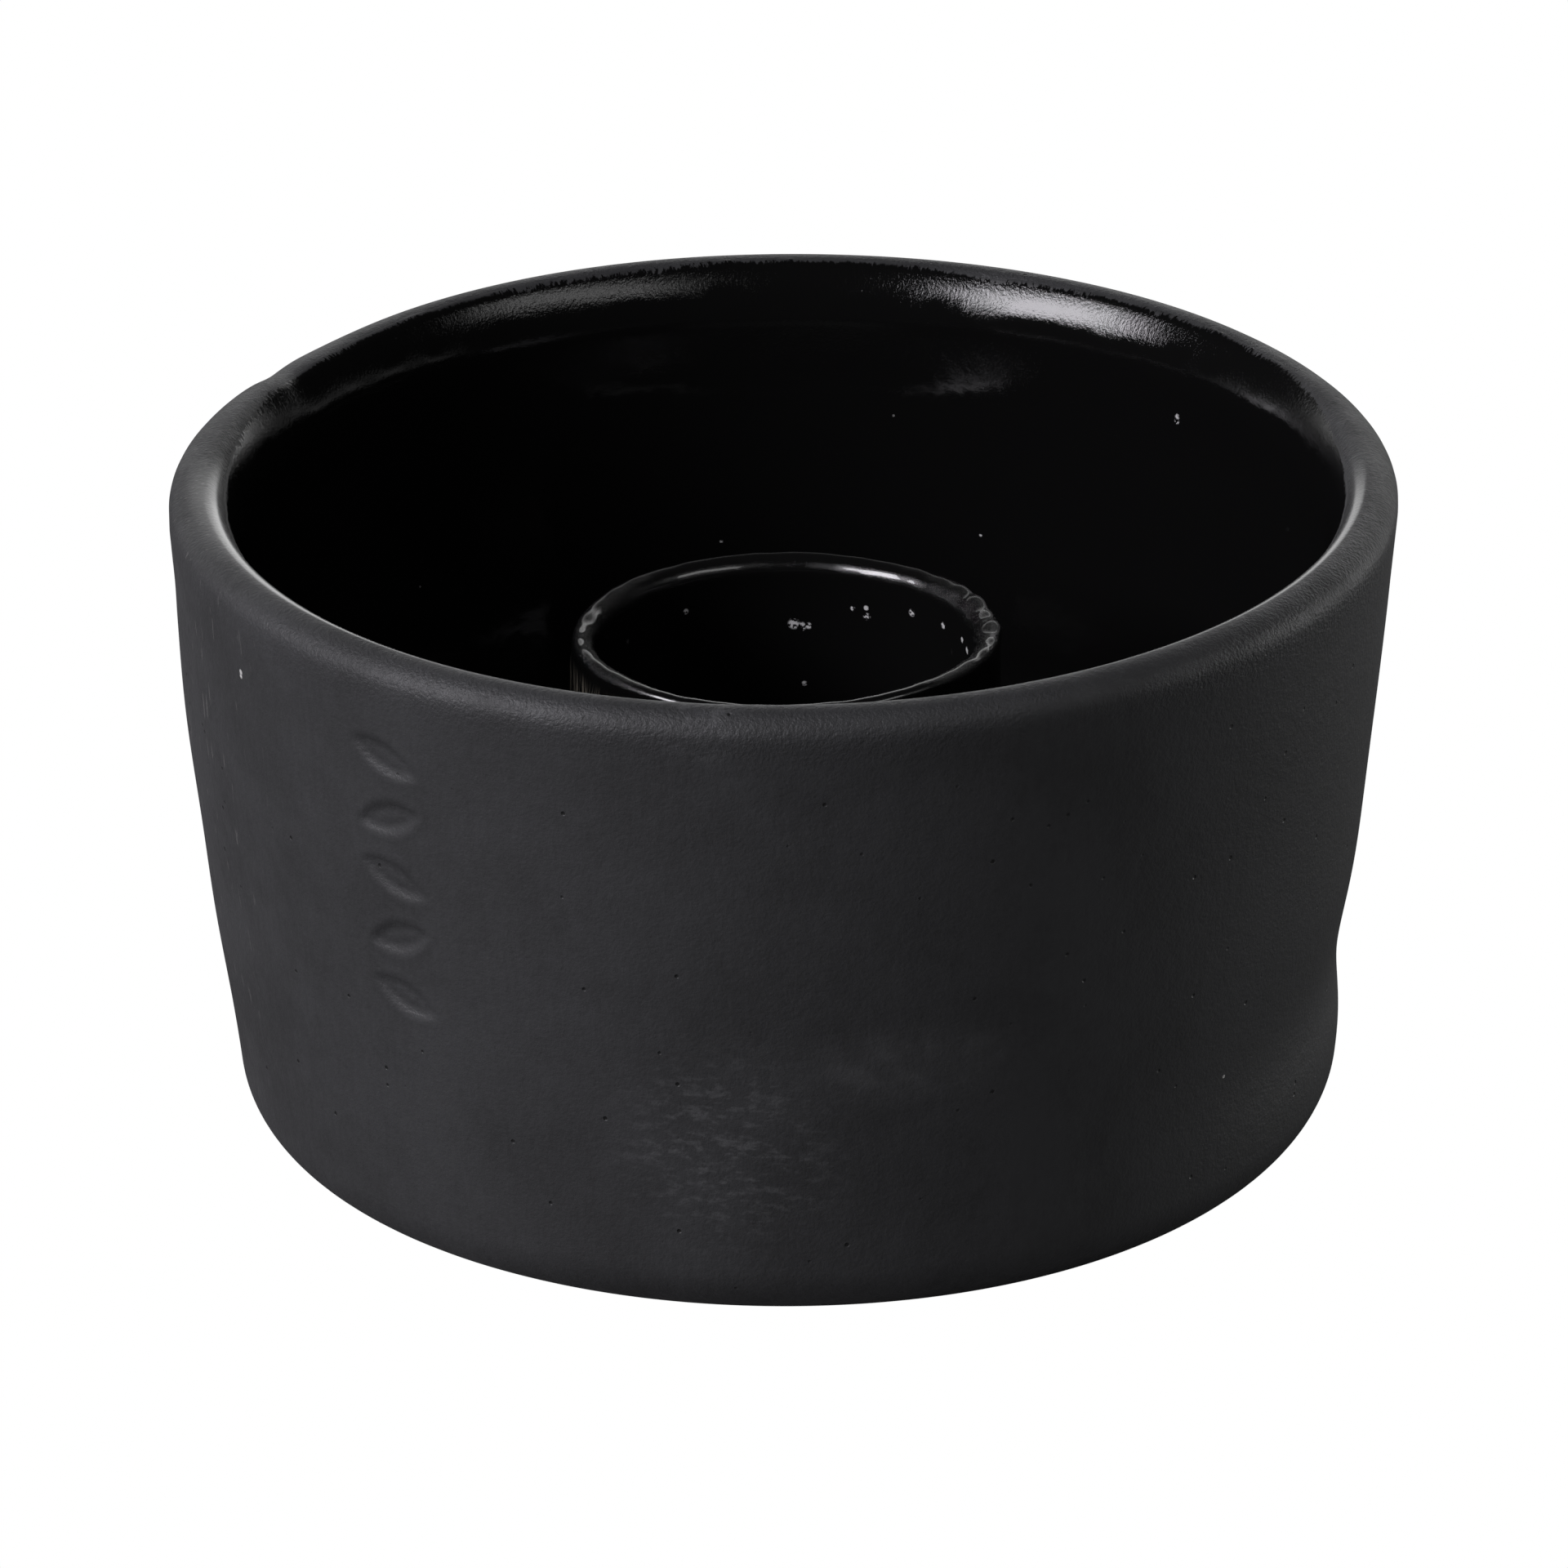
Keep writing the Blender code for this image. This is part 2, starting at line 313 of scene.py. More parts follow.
def stretched(tree, place, stretch):
    """Coordinates that draw a pattern out along the axes."""
    inputs = {"Vector": place, "Scale": [1 / part for part in stretch]}
    return add(tree, "Mapping", inputs).outputs[0]


def spot(tree, place, where, size):
    """A mask round one point of the piece."""
    away = add(tree, "VectorMath", {0: place, 1: [part * MM for part in where]}, operation="DISTANCE")
    return ramp(tree, away.outputs["Value"], size * MM, size * 0.5 * MM)


def soft_spot(tree, place, where, size):
    """The same with a soft edge, for a worn or cloudy patch."""
    away = add(tree, "VectorMath", {0: place, 1: [part * MM for part in where]}, operation="DISTANCE")
    return ramp(tree, away.outputs["Value"], size * MM, 0.0)


def most(tree, masks):
    """The strongest of several masks."""
    total = masks[0]
    for mask in masks[1:]:
        total = maths(tree, "MAXIMUM", total, mask)
    return total


def new_group(name, inputs, outputs):
    """A node group with named number inputs, each with its first value, and named outputs."""
    group = bpy.data.node_groups.new(name, "ShaderNodeTree")
    group.interface.new_socket("Place", in_out="INPUT", socket_type="NodeSocketVector")
    for label, value in inputs.items():
        socket = group.interface.new_socket(label, in_out="INPUT", socket_type="NodeSocketFloat")
        socket.default_value = value
    for label in outputs:
        group.interface.new_socket(label, in_out="OUTPUT", socket_type="NodeSocketFloat")
    return group, group.nodes.new("NodeGroupInput"), group.nodes.new("NodeGroupOutput")


def use_group(tree, group, inputs):
    """The group placed in a material, with that material's values."""
    node = tree.nodes.new("ShaderNodeGroup")
    node.node_tree = group
    for name, value in inputs.items():
        if isinstance(value, bpy.types.NodeSocket):
            tree.links.new(value, node.inputs[name])
        else:
            node.inputs[name].default_value = value
    return node.outputs


def new_material(name, **values):
    """A material with its shader, its tree, and coordinates in the bowl's own metres."""
    material = bpy.data.materials.new(name)
    material.use_nodes = True
    tree = material.node_tree
    shader = tree.nodes["Principled BSDF"]
    for label, value in values.items():
        shader.inputs[label.replace("_", " ").title().replace("Ior", "IOR")].default_value = value
    return material, tree, shader, add(tree, "TexCoord").outputs["Object"]


def finish_surface(tree, shader, colour, roughness, height, depth):
    """Links the surface into the shader. Depth is in millimetres for a height of 1."""
    tree.links.new(colour, shader.inputs["Base Color"])
    tree.links.new(roughness, shader.inputs["Roughness"])
    bump = add(tree, "Bump", {"Height": height, "Distance": depth * MM, "Strength": 1.0})
    tree.links.new(bump.outputs[0], shader.inputs["Normal"])


clay_grain, source, result = new_group(
    "clay_grain",
    {"Patch Size": 0.012, "Grain Size": 0.0005, "Pit Share": 0.10},
    ("Patches", "Grain", "Pits"),
)
place = source.outputs["Place"]
patch_scale = maths(clay_grain, "DIVIDE", 1.0, source.outputs["Patch Size"])
grain_scale = maths(clay_grain, "DIVIDE", 1.0, source.outputs["Grain Size"])
patch_noise = {"Vector": place, "Scale": patch_scale, "Detail": 5.0, "Roughness": 0.6}
patches = add(clay_grain, "TexNoise", patch_noise)
grain_noise = {"Vector": place, "Scale": grain_scale, "Detail": 3.0, "Roughness": 0.65}
grain = add(clay_grain, "TexNoise", grain_noise)
pit_scale = maths(clay_grain, "MULTIPLY", grain_scale, 0.22)
pit_cells = add(clay_grain, "TexVoronoi", {"Vector": place, "Scale": pit_scale})
pit_lot = add(clay_grain, "SeparateColor", {0: pit_cells.outputs["Color"]}).outputs[0]
pit_shape = ramp(clay_grain, pit_cells.outputs["Distance"], 0.16, 0.07)
pit_chosen = maths(clay_grain, "LESS_THAN", pit_lot, source.outputs["Pit Share"])
pits = maths(clay_grain, "MULTIPLY", pit_shape, pit_chosen)
clay_grain.links.new(ramp(clay_grain, patches.outputs[0], 0.30, 0.70), result.inputs["Patches"])
clay_grain.links.new(grain.outputs[0], result.inputs["Grain"])
clay_grain.links.new(pits, result.inputs["Pits"])

# Scattered pale specks: real dust on the bare clay, and partly painted glints where the glaze uses them.
dust_and_glint_specks, source, result = new_group(
    "dust_and_glint_specks",
    {"Cell Size": 0.006, "Speck Size": 0.05, "Speck Share": 0.1},
    ("Specks",),
)
cell_scale = maths(dust_and_glint_specks, "DIVIDE", 1.0, source.outputs["Cell Size"])
cells = add(dust_and_glint_specks, "TexVoronoi", {"Vector": source.outputs["Place"], "Scale": cell_scale})
lot = add(dust_and_glint_specks, "SeparateColor", {0: cells.outputs["Color"]})
reach = maths(dust_and_glint_specks, "MULTIPLY", source.outputs["Speck Size"], maths(dust_and_glint_specks, "ADD", 0.4, lot.outputs[1]))
within = maths(dust_and_glint_specks, "LESS_THAN", cells.outputs["Distance"], reach)
chosen = maths(dust_and_glint_specks, "LESS_THAN", lot.outputs[0], source.outputs["Speck Share"])
dust_and_glint_specks.links.new(maths(dust_and_glint_specks, "MULTIPLY", within, chosen), result.inputs["Specks"])

STONEWARE_DARK = grey(0.0220, -0.03)
STONEWARE_LIGHT = grey(0.0350, -0.04)
SCUFF = grey(0.085, -0.03)
# Painted shade colour for the clay's pits and pinholes.
PIT_SHADE = grey(0.006)
LINT = grey(0.42, 0.02)
SCRATCH = grey(0.11, 0.03)
PINHOLES = ((54.4, -32.0, 73.6), (59.1, 17.8, 73.7))
PINHOLE_SIZE = 0.42
BODY_LINT = ((-56.5, -31.3, 64.7), (-56.6, -31.3, 64.2))
LINT_SIZE = 0.38
WORN_PLACES = (((-6.4, -60.4, 23.0), 17.0), ((-8.0, -61.0, 72.0), 7.0))
BLOOM_MIDDLE = (12.45, -60.3, 32.5)
BLOOM_STRETCH = (1.5, 1.5, 0.6)
BLOOM_SIZE = 10.0

stoneware, tree, shader, place = new_material(
    "black_stoneware", metallic=0.0, ior=1.38, coat_roughness=0.22, coat_ior=1.6
)
clay = use_group(tree, clay_grain, {"Place": place, "Patch Size": 0.014, "Grain Size": 0.00042})
cloud = noise(tree, place, 45.0, 3.0)
smears = noise(tree, stretched(tree, place, (1.7, 1.7, 0.8)), 1.2, 4.0, 0.65)
worn = most(tree, [soft_spot(tree, place, where, size) for where, size in WORN_PLACES])
scuffs = maths(tree, "MULTIPLY", ramp(tree, smears, 0.47, 0.68, 0.08, 1.0), worn)
bloom_middle = [part / stretch for part, stretch in zip(BLOOM_MIDDLE, BLOOM_STRETCH)]
bloom = soft_spot(tree, stretched(tree, place, BLOOM_STRETCH), bloom_middle, BLOOM_SIZE)
bloom_cloud = ramp(tree, noise(tree, place, 5.0, 4.0), 0.35, 0.65, 0.3, 1.0)
bloom = maths(tree, "MULTIPLY", bloom, bloom_cloud)
scratch_field = noise(tree, stretched(tree, place, (0.5, 0.5, 6.0)), 1.1, 2.0)
side = add(tree, "SeparateXYZ", {0: place})
left_zone = ramp(tree, side.outputs[0], -0.052, -0.061)
scratches = maths(tree, "MULTIPLY", ramp(tree, scratch_field, 0.66, 0.72), left_zone)
few_specks = {"Place": place, "Cell Size": 0.009, "Speck Size": 0.022, "Speck Share": 0.22}
specks = use_group(tree, dust_and_glint_specks, few_specks)
turning = noise(tree, stretched(tree, place, (0.35, 0.35, 2.4)), 1.8, 4.0, 0.6)
fine = noise(tree, place, 0.8, 4.0, 0.75)
patched = maths(tree, "MULTIPLY", clay["Patches"], 0.30)
for layer, share in ((cloud, 0.35), (turning, 0.35), (fine, 0.45)):
    patched = maths(tree, "ADD", patched, maths(tree, "MULTIPLY", layer, share))
patched = ramp(tree, patched, 0.42, 0.98)
colour = tinted(tree, patched, STONEWARE_DARK, STONEWARE_LIGHT)
colour = tinted(tree, maths(tree, "MULTIPLY", scuffs, 0.70), colour, SCUFF)
colour = tinted(tree, maths(tree, "MULTIPLY", bloom, 0.60), colour, SCUFF)
colour = tinted(tree, maths(tree, "MULTIPLY", scratches, 0.6), colour, SCRATCH)
# Painted shade: the pinholes and the clay's small pits are coloured near black for the shade inside them.
pinhole_shade = most(tree, [spot(tree, place, where, PINHOLE_SIZE) for where in PINHOLES])
colour = tinted(tree, maths(tree, "MAXIMUM", clay["Pits"], pinhole_shade), colour, PIT_SHADE)
lint = most(tree, [spot(tree, place, where, LINT_SIZE) for where in BODY_LINT])
colour = tinted(tree, maths(tree, "MAXIMUM", specks["Specks"], lint), colour, LINT)
roughness = ramp(tree, patched, 0.2, 0.8, 0.56, 0.48)
flat = add(tree, "VectorMath", {0: place, 1: (1.0, 1.0, 0.0)}, operation="MULTIPLY").outputs[0]
from_axis = add(tree, "VectorMath", {0: flat}, operation="LENGTH").outputs["Value"]
rubbed = ramp(tree, side.outputs[2], (RIM - 4.2) * MM, (RIM - 0.8) * MM)
inner_share = ramp(tree, from_axis, (CREST + 1.6) * MM, (CREST - 1.2) * MM)
left_share = ramp(tree, side.outputs[0], -0.046, -0.063, 0.0, 0.8)
back_share = ramp(tree, side.outputs[1], 0.008, -0.006)
left_rub = maths(tree, "MULTIPLY", maths(tree, "MULTIPLY", left_share, back_share), inner_share)
edge_rub = ramp(tree, from_axis, (CREST - 0.35) * MM, (CREST - 0.8) * MM)
edge_rub = maths(tree, "MULTIPLY", edge_rub, ramp(tree, side.outputs[1], 0.004, -0.010))
rubbed = maths(tree, "MULTIPLY", rubbed, maths(tree, "MAXIMUM", left_rub, edge_rub))
tree.links.new(rubbed, shader.inputs["Coat Weight"])
sandy = ramp(tree, side.outputs[2], (RIM - 7.0) * MM, (RIM - 2.0) * MM, 1.0, 2.4)
height = maths(tree, "MULTIPLY", clay["Grain"], sandy)
height = maths(tree, "ADD", height, maths(tree, "MULTIPLY", noise(tree, place, 1.6, 2.0), 0.9))
height = maths(tree, "SUBTRACT", height, maths(tree, "MULTIPLY", clay["Pits"], 1.6))
finish_surface(tree, shader, colour, roughness, height, 0.07)
bowl_body.data.materials.append(stoneware)
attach(bowl_body, "root")
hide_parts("bowl_body")


# ---------------------------------------------------------------------------------------------
# Candle cup. Thin-walled stoneware cup made apart from the bowl, stood in a shallow seat in the
# bowl's floor while both are leather-hard. The glaze hides all but its shape.

CUP_WALL = 1.2
CUP_BORE = 20.7
CUP_FLOOR = CUP_FOOT + 4.0
CUP_LIP = CUP_WALL / 2
CUP_LIP_CENTRE = (CUP_BORE + CUP_LIP, CUP_TOP - 0.6 - CUP_LIP)
CUP_OUTER_LEAN = -1.1
CUP_INNER_LEAN = 0.3
CUP_CORNER = 3.0

cup_lip = arc(CUP_LIP_CENTRE, CUP_LIP, CUP_OUTER_LEAN * -1, 180.0 - CUP_INNER_LEAN)
cup_corner_radius = leaning(cup_lip[-1], CUP_INNER_LEAN, CUP_FLOOR + CUP_CORNER)[0] - CUP_CORNER
cup_corner = arc((cup_corner_radius, CUP_FLOOR + CUP_CORNER), CUP_CORNER, -CUP_INNER_LEAN, -90.0)
cup_foot_radius = leaning(cup_lip[0], CUP_OUTER_LEAN, CUP_FOOT)[0]
cup_outline = np.vstack((
    spaced(np.array(((0.0, CUP_FOOT), (cup_foot_radius - 0.4, CUP_FOOT))), 4.0),
    spaced(np.array(((cup_foot_radius, CUP_FOOT + 0.4), cup_lip[0])), 2.0),
    cup_lip[1:],
    spaced(np.vstack((cup_lip[-1:], cup_corner)), 2.0)[1:],
    spaced(np.array((cup_corner[-1], (0.0, CUP_FLOOR))), 4.0)[1:],
))
candle_cup = closed(turned("candle_cup_stoneware", cup_outline, np.arange(0.0, 360.0, 3.0)))
candle_cup.data.materials.append(stoneware)
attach(candle_cup, "root")
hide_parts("candle_cup")


# ---------------------------------------------------------------------------------------------
# Slip bead. A fillet of thick black slip that joins the cup's foot to the bowl's floor, run round
# with a fingertip. It lies under the glaze.

BEAD_ROUND = 5.0
BEAD_TOE = 12.0

bead_height = FLOOR + BEAD_ROUND
bead_centre = (leaning(cup_lip[0], CUP_OUTER_LEAN, bead_height)[0] + BEAD_ROUND, bead_height)
bead_face = arc(bead_centre, BEAD_ROUND, -90.0 - BEAD_TOE, -180.0 + BEAD_TOE, 10)
bead_outline = np.vstack((
    (bead_face[-1, 0] - 0.3, FLOOR + 0.1),
    (bead_face[0, 0], FLOOR + 0.1),
    bead_face,
    (bead_face[-1, 0] - 0.3, bead_face[-1, 1]),
))
slip_bead = turned("slip_bead_ring", bead_outline, np.arange(0.0, 360.0, 3.0), ring=True)
slip_bead.data.shade_smooth()

slip, tree, shader, place = new_material("black_slip", metallic=0.0, ior=1.45)
slip_grain = {"Place": place, "Patch Size": 0.006, "Grain Size": 0.0003, "Pit Share": 0.04}
clay = use_group(tree, clay_grain, slip_grain)
colour = tinted(tree, clay["Patches"], grey(0.018), grey(0.026, -0.02))
strokes = noise(tree, stretched(tree, place, (1.0, 1.0, 0.2)), 3.0, 2.0)
height = maths(tree, "ADD", strokes, maths(tree, "MULTIPLY", clay["Grain"], 0.3))
finish_surface(tree, shader, colour, ramp(tree, clay["Patches"], 0.0, 1.0, 0.5, 0.6), height, 0.08)
slip_bead.data.materials.append(slip)
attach(slip_bead, "root")
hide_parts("slip_bead")


# ---------------------------------------------------------------------------------------------
# Glaze coat. One continuous coat of glossy black glass, poured into the bowl and over the cup. It
# starts at a ragged line just inside the rim, is dry and grainy at first, and pools lower down.
# It rounds the cup's lip and has run down the cup's outside.

COAT = 0.6
GLAZE_START = 104.0
EDGE_SINK = 0.10
SKIN_RADIUS = cup_lip[0][0] + COAT
SKIN_TOP = CUP_TOP
LIP_OUTER = 0.85
LIP_INNER = (1.75, 2.1)

glaze_lip = np.vstack((
    arc((CREST, RIM - RIM_INNER_ROUND), RIM_INNER_ROUND, GLAZE_START, LIP_START),
    arc(LIP_CENTRE, LIP_ROUND, LIP_START, 180.0 - WALL_LEAN)[1:],
))
bead_top = arc(bead_centre, BEAD_ROUND, -90.0, -180.0)
skin_crest = SKIN_RADIUS - LIP_OUTER
quarter = np.radians(np.linspace(90.0, 180.0, 20))
skin_inner = np.column_stack((
    skin_crest + LIP_INNER[0] * np.cos(quarter),
    SKIN_TOP - LIP_INNER[1] + LIP_INNER[1] * np.sin(quarter),
))
skin_lip = np.vstack((arc((skin_crest, SKIN_TOP - LIP_OUTER), LIP_OUTER, 0.0, 90.0), skin_inner[1:]))
skin_corner = arc((skin_inner[-1, 0] - CUP_CORNER, CUP_FLOOR + COAT + CUP_CORNER), CUP_CORNER, 0.0, -90.0)
bowl_runs = (
    spaced(glaze_lip, 0.28),
    spaced(np.vstack((glaze_lip[-1:], floor_corner)), 1.2)[1:],
    spaced(np.vstack((floor_corner[-1:], bead_top)), 1.2)[1:],
)
cup_runs = (
    spaced(np.array((bead_top[-1] + (COAT, 1.0), skin_lip[0])), 0.9),
    spaced(skin_lip, 0.17)[1:],
    spaced(np.vstack((skin_lip[-1:], skin_corner)), 1.1)[1:],
    spaced(np.array((skin_corner[-1], (0.0, CUP_FLOOR + COAT))), 1.6)[1:],
)
bowl_path, cup_path = np.vstack(bowl_runs), np.vstack(cup_runs)
glaze_path = np.vstack((bowl_path, cup_path))
on_bowl = np.arange(len(glaze_path)) < len(bowl_path)
outer_cup = ~on_bowl & (np.arange(len(glaze_path)) < len(bowl_path) + len(cup_runs[0]))
before = np.vstack((glaze_path[:1], glaze_path[:-1]))
after = np.vstack((glaze_path[1:], glaze_path[-1:]))
heading = (after - before) / np.hypot(*(after - before).T)[:, None]
outwards = np.column_stack((heading[:, 1], -heading[:, 0]))
outwards[-1] = (0.0, 1.0)
travel = np.concatenate(([0.0], np.cumsum(np.hypot(*np.diff(glaze_path, axis=0).T))))
travel += RIM_INNER_ROUND * np.radians(GLAZE_START - 90.0)
glaze_angles = np.arange(0.0, 360.0, 0.75)


def glaze_edge(angle):
    """How far inside the crest the glaze starts, measured over the lip."""
    high = eased(np.sin(np.radians(angle)), -0.02, 0.50)
    even = 2.9 - 2.3 * high + 0.20 * around(angle, 195, 22)
    even += 0.75 * around(angle, 66, 9) + 0.3 * around(angle, 113, 12)
    return even + 0.09 * waves(angle, (7, 12, 19), 0.4) + 0.08 * waves(angle, (31, 43, 58, 71), 1.3)


def lip_lumps(angle, along_lip):
    """Beads of glaze on the cup's lip, most of them on its right."""
    right = 0.20 + 0.80 * around(angle, 8, 26)
    return 0.15 * right * waves(angle, (13, 22, 37), 2.6) * along_lip


def cup_streaks(angle, height):
    """Runs of glaze down the outside of the cup, most of them on its left."""
    left = 0.25 + 0.75 * around(angle, 205, 40)
    ridge = np.maximum(waves(angle, (11, 17, 26), 0.9), 0.0)
    between = eased(height, FLOOR + 4, FLOOR + 20) * (1 - eased(height, CUP_TOP - 4, CUP_TOP))
    return 0.34 * left * ridge * between


def glaze_as_made(angle, radius, height):
    """The glaze's points. The first half of them lie just under the clay's face, the rest on top."""
    radius, height = as_made(angle, radius, height)
    top = slice(len(glaze_path), None)
    inside = travel[None, :] - glaze_edge(angle[:, top])
    thick = COAT * eased(inside, -2.5, 24.0)
    thick = (thick - EDGE_SINK * (1 - eased(inside, -0.35, 0.1))) * on_bowl
    at_lip = hump(glaze_path[None, :, 1], SKIN_TOP, 1.8) * ~on_bowl
    thick = thick + lip_lumps(angle[:, top], at_lip)
    thick = thick + np.where(outer_cup, cup_streaks(angle[:, top], height[:, top]), 0.0)
    radius[:, top] += outwards[None, :, 0] * thick
    height[:, top] += outwards[None, :, 1] * thick
    return radius, height


glaze_under = glaze_path - outwards * np.where(on_bowl, 0.15, 0.35)[:, None]
glaze_under[-1, 0] = 0.0
glaze_outline = np.vstack((glaze_under[::-1], glaze_path))
glaze_coat = turned("glaze_coat_glass", glaze_outline, glaze_angles, glaze_as_made)
edge_now = travel[None, :] - glaze_edge(glaze_angles)[:, None]
for label, values in (("from_edge", edge_now), ("travel", np.tile(travel, (len(glaze_angles), 1)))):
    both_faces = np.concatenate((np.full(values.shape, 60.0), values), axis=1).astype(np.float32)
    glaze_coat.data.attributes.new(label, "FLOAT", "POINT").data.foreach_set("value", both_faces.ravel())
closed(glaze_coat)

GLASS = grey(0.0030)
# Painted highlight colour for the glaze runs on the cup.
RUN_SHEEN = grey(0.13, 0.20)
# Pale spots on the glaze: partly grit and wax crumbs, partly painted highlights that stand for glints off
# small lumps in the glaze. The biggest cluster is on the cup's back wall.
GRIT_AND_GLINT = grey(0.40)
GLAZE_GRIT_AND_GLINTS = (
    ((42.8, 38.2, 63.9), 0.45),
    ((42.8, 38.2, 63.4), 0.45),
    ((21.7, 50.9, 44.8), 0.30),
    ((-6.9, 54.6, 42.7), 0.30),
    ((1.0, 19.9, 47.7), 0.75),
    ((1.9, 19.9, 47.4), 0.60),
    ((2.6, 19.8, 47.5), 0.45),
    ((8.8, 17.9, 50.3), 0.35),
    ((8.9, 17.9, 49.3), 0.50),
    ((7.4, 18.6, 50.0), 0.35),
    ((13.7, 14.6, 51.1), 0.50),
    ((17.0, 10.6, 51.3), 0.45),
    ((19.0, 6.7, 51.3), 0.40),
    ((19.5, 5.2, 50.7), 0.50),
    ((2.1, 19.8, 40.7), 0.35),
    ((-10.6, 17.1, 50.4), 0.40),
)
LIP_HERE = travel[len(bowl_path) + len(cup_runs[0])]


def along_rim(tree, place, travelled, round_stretch, down_stretch):
    """Coordinates that follow the glaze round the bowl and down its face, each drawn out."""
    flat = add(tree, "VectorMath", {0: place, 1: (1.0, 1.0, 0.0)}, operation="MULTIPLY").outputs[0]
    ring = add(tree, "VectorMath", {0: flat}, operation="NORMALIZE").outputs[0]
    ring = add(tree, "VectorMath", {0: ring, 3: 60.0 * MM / round_stretch}, operation="SCALE").outputs[0]
    down = add(tree, "CombineXYZ", {2: maths(tree, "MULTIPLY", travelled, MM / down_stretch)}).outputs[0]
    return add(tree, "VectorMath", {0: ring, 1: down}, operation="ADD").outputs[0]


glaze, tree, shader, place = new_material(
    "black_glaze", metallic=0.0, ior=1.39, coat_roughness=0.05, coat_ior=1.5
)
depth = add(tree, "Attribute", attribute_name="from_edge").outputs["Fac"]
travelled = add(tree, "Attribute", attribute_name="travel").outputs["Fac"]
clay = use_group(tree, clay_grain, {"Place": place, "Patch Size": 0.006, "Grain Size": 0.00036})
fringe = noise(tree, along_rim(tree, place, travelled, 1.0, 2.6), 0.42, 4.0, 0.7)
fringe_reach = ramp(tree, noise(tree, place, 7.0), 0.35, 0.7, 0.15, 1.0)
frayed = maths(tree, "MULTIPLY", ramp(tree, fringe, 0.25, 0.75, -0.75, 0.6), fringe_reach)
ragged = maths(tree, "ADD", depth, frayed)
bare = ramp(tree, ragged, 0.55, 0.2)
on_cup = ramp(tree, travelled, LIP_HERE - 4.0, LIP_HERE - 1.0, 1.0, 0.0)
on_cup = maths(tree, "MULTIPLY", on_cup, ramp(tree, travelled, LIP_HERE - 30.0, LIP_HERE - 26.0))
# Painted highlight: where the glaze runs down the cup's left outside it is coloured pale brownish, standing
# for glints off the runs, not for a colour of the glaze.
runs = noise(tree, along_rim(tree, place, travelled, 1.0, 9.0), 0.9, 3.0, 0.6)
thin_run_sheen = maths(tree, "MULTIPLY", ramp(tree, runs, 0.48, 0.62), on_cup)
side = add(tree, "SeparateXYZ", {0: place})
thin_run_sheen = maths(tree, "MULTIPLY", thin_run_sheen, ramp(tree, side.outputs[0], -0.012, -0.021))
wander = ramp(tree, noise(tree, place, 5.0), 0.3, 0.7, -1.2, 1.2)
dry = ramp(tree, maths(tree, "ADD", depth, wander), 6.5, 2.5)
grain_band = maths(tree, "MULTIPLY", ramp(tree, depth, 3.0, 8.0), ramp(tree, depth, 14.0, 9.0))
dry = maths(tree, "MAXIMUM", dry, maths(tree, "MULTIPLY", grain_band, 0.30))
at_lip = ramp(tree, travelled, LIP_HERE - 1.5, LIP_HERE)
at_lip = maths(tree, "MULTIPLY", at_lip, ramp(tree, travelled, LIP_HERE + 5.0, LIP_HERE + 3.0))
creases = noise(tree, along_rim(tree, place, travelled, 2.0, 1.0), 0.26, 4.0, 0.7)
colour = tinted(tree, clay["Patches"], STONEWARE_DARK, STONEWARE_LIGHT)
colour = tinted(tree, bare, GLASS, colour)
colour = tinted(tree, thin_run_sheen, colour, RUN_SHEEN)
# Painted highlights mixed with real grit: the listed spots and the fine specks are painted pale for glints as
# well as crumbs.
grit_and_glint_edge = ramp(tree, noise(tree, place, 0.35, 2.0), 0.40, 0.55)
grit_and_glints = most(tree, [spot(tree, place, where, size) for where, size in GLAZE_GRIT_AND_GLINTS])
grit_and_glints = maths(tree, "MULTIPLY", grit_and_glints, grit_and_glint_edge)
small_specks = {"Place": place, "Cell Size": 0.004, "Speck Size": 0.032, "Speck Share": 0.07}
fine_grit_and_glints = maths(tree, "MULTIPLY", use_group(tree, dust_and_glint_specks, small_specks)["Specks"], 0.25)
grit_and_glints = maths(tree, "MAXIMUM", grit_and_glints, fine_grit_and_glints)
colour = tinted(tree, grit_and_glints, colour, GRIT_AND_GLINT)
gloss = ramp(tree, noise(tree, place, 9.0, 3.0), 0.3, 0.7, 0.03, 0.055)
low_down = ramp(tree, side.outputs[2], 0.036, 0.024, 0.0, 0.3)
roughness = maths(tree, "ADD", maths(tree, "ADD", gloss, low_down), maths(tree, "MULTIPLY", dry, 0.05))
roughness = maths(tree, "MAXIMUM", roughness, maths(tree, "MULTIPLY", bare, 0.55))
grains = maths(tree, "MULTIPLY", maths(tree, "ADD", 0.03, maths(tree, "MULTIPLY", dry, 0.55)), clay["Grain"])
streaks = maths(tree, "MULTIPLY", maths(tree, "MULTIPLY", fringe, dry), 0.35)
peel = maths(tree, "MULTIPLY", noise(tree, place, 5.0, 2.0), 0.8)
at_sides = ramp(tree, maths(tree, "ABSOLUTE", side.outputs[0]), 0.013, 0.021, 0.25, 1.0)
crease_height = maths(tree, "MULTIPLY", creases, maths(tree, "MULTIPLY", at_sides, 2.2))
crease_height = maths(tree, "MULTIPLY", crease_height, at_lip)
tree.links.new(maths(tree, "MULTIPLY", at_lip, 0.55), shader.inputs["Coat Weight"])
height = maths(tree, "ADD", maths(tree, "ADD", grains, maths(tree, "ADD", peel, streaks)), crease_height)
finish_surface(tree, shader, colour, roughness, height, 0.06)
glaze_coat.data.materials.append(glaze)
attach(glaze_coat, "root")
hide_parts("glaze_coat")


# ---------------------------------------------------------------------------------------------
# Felt feet. Four discs punched from self-adhesive wool felt and stuck under the foot ring, so that
# the hard foot doesn't scratch a table.

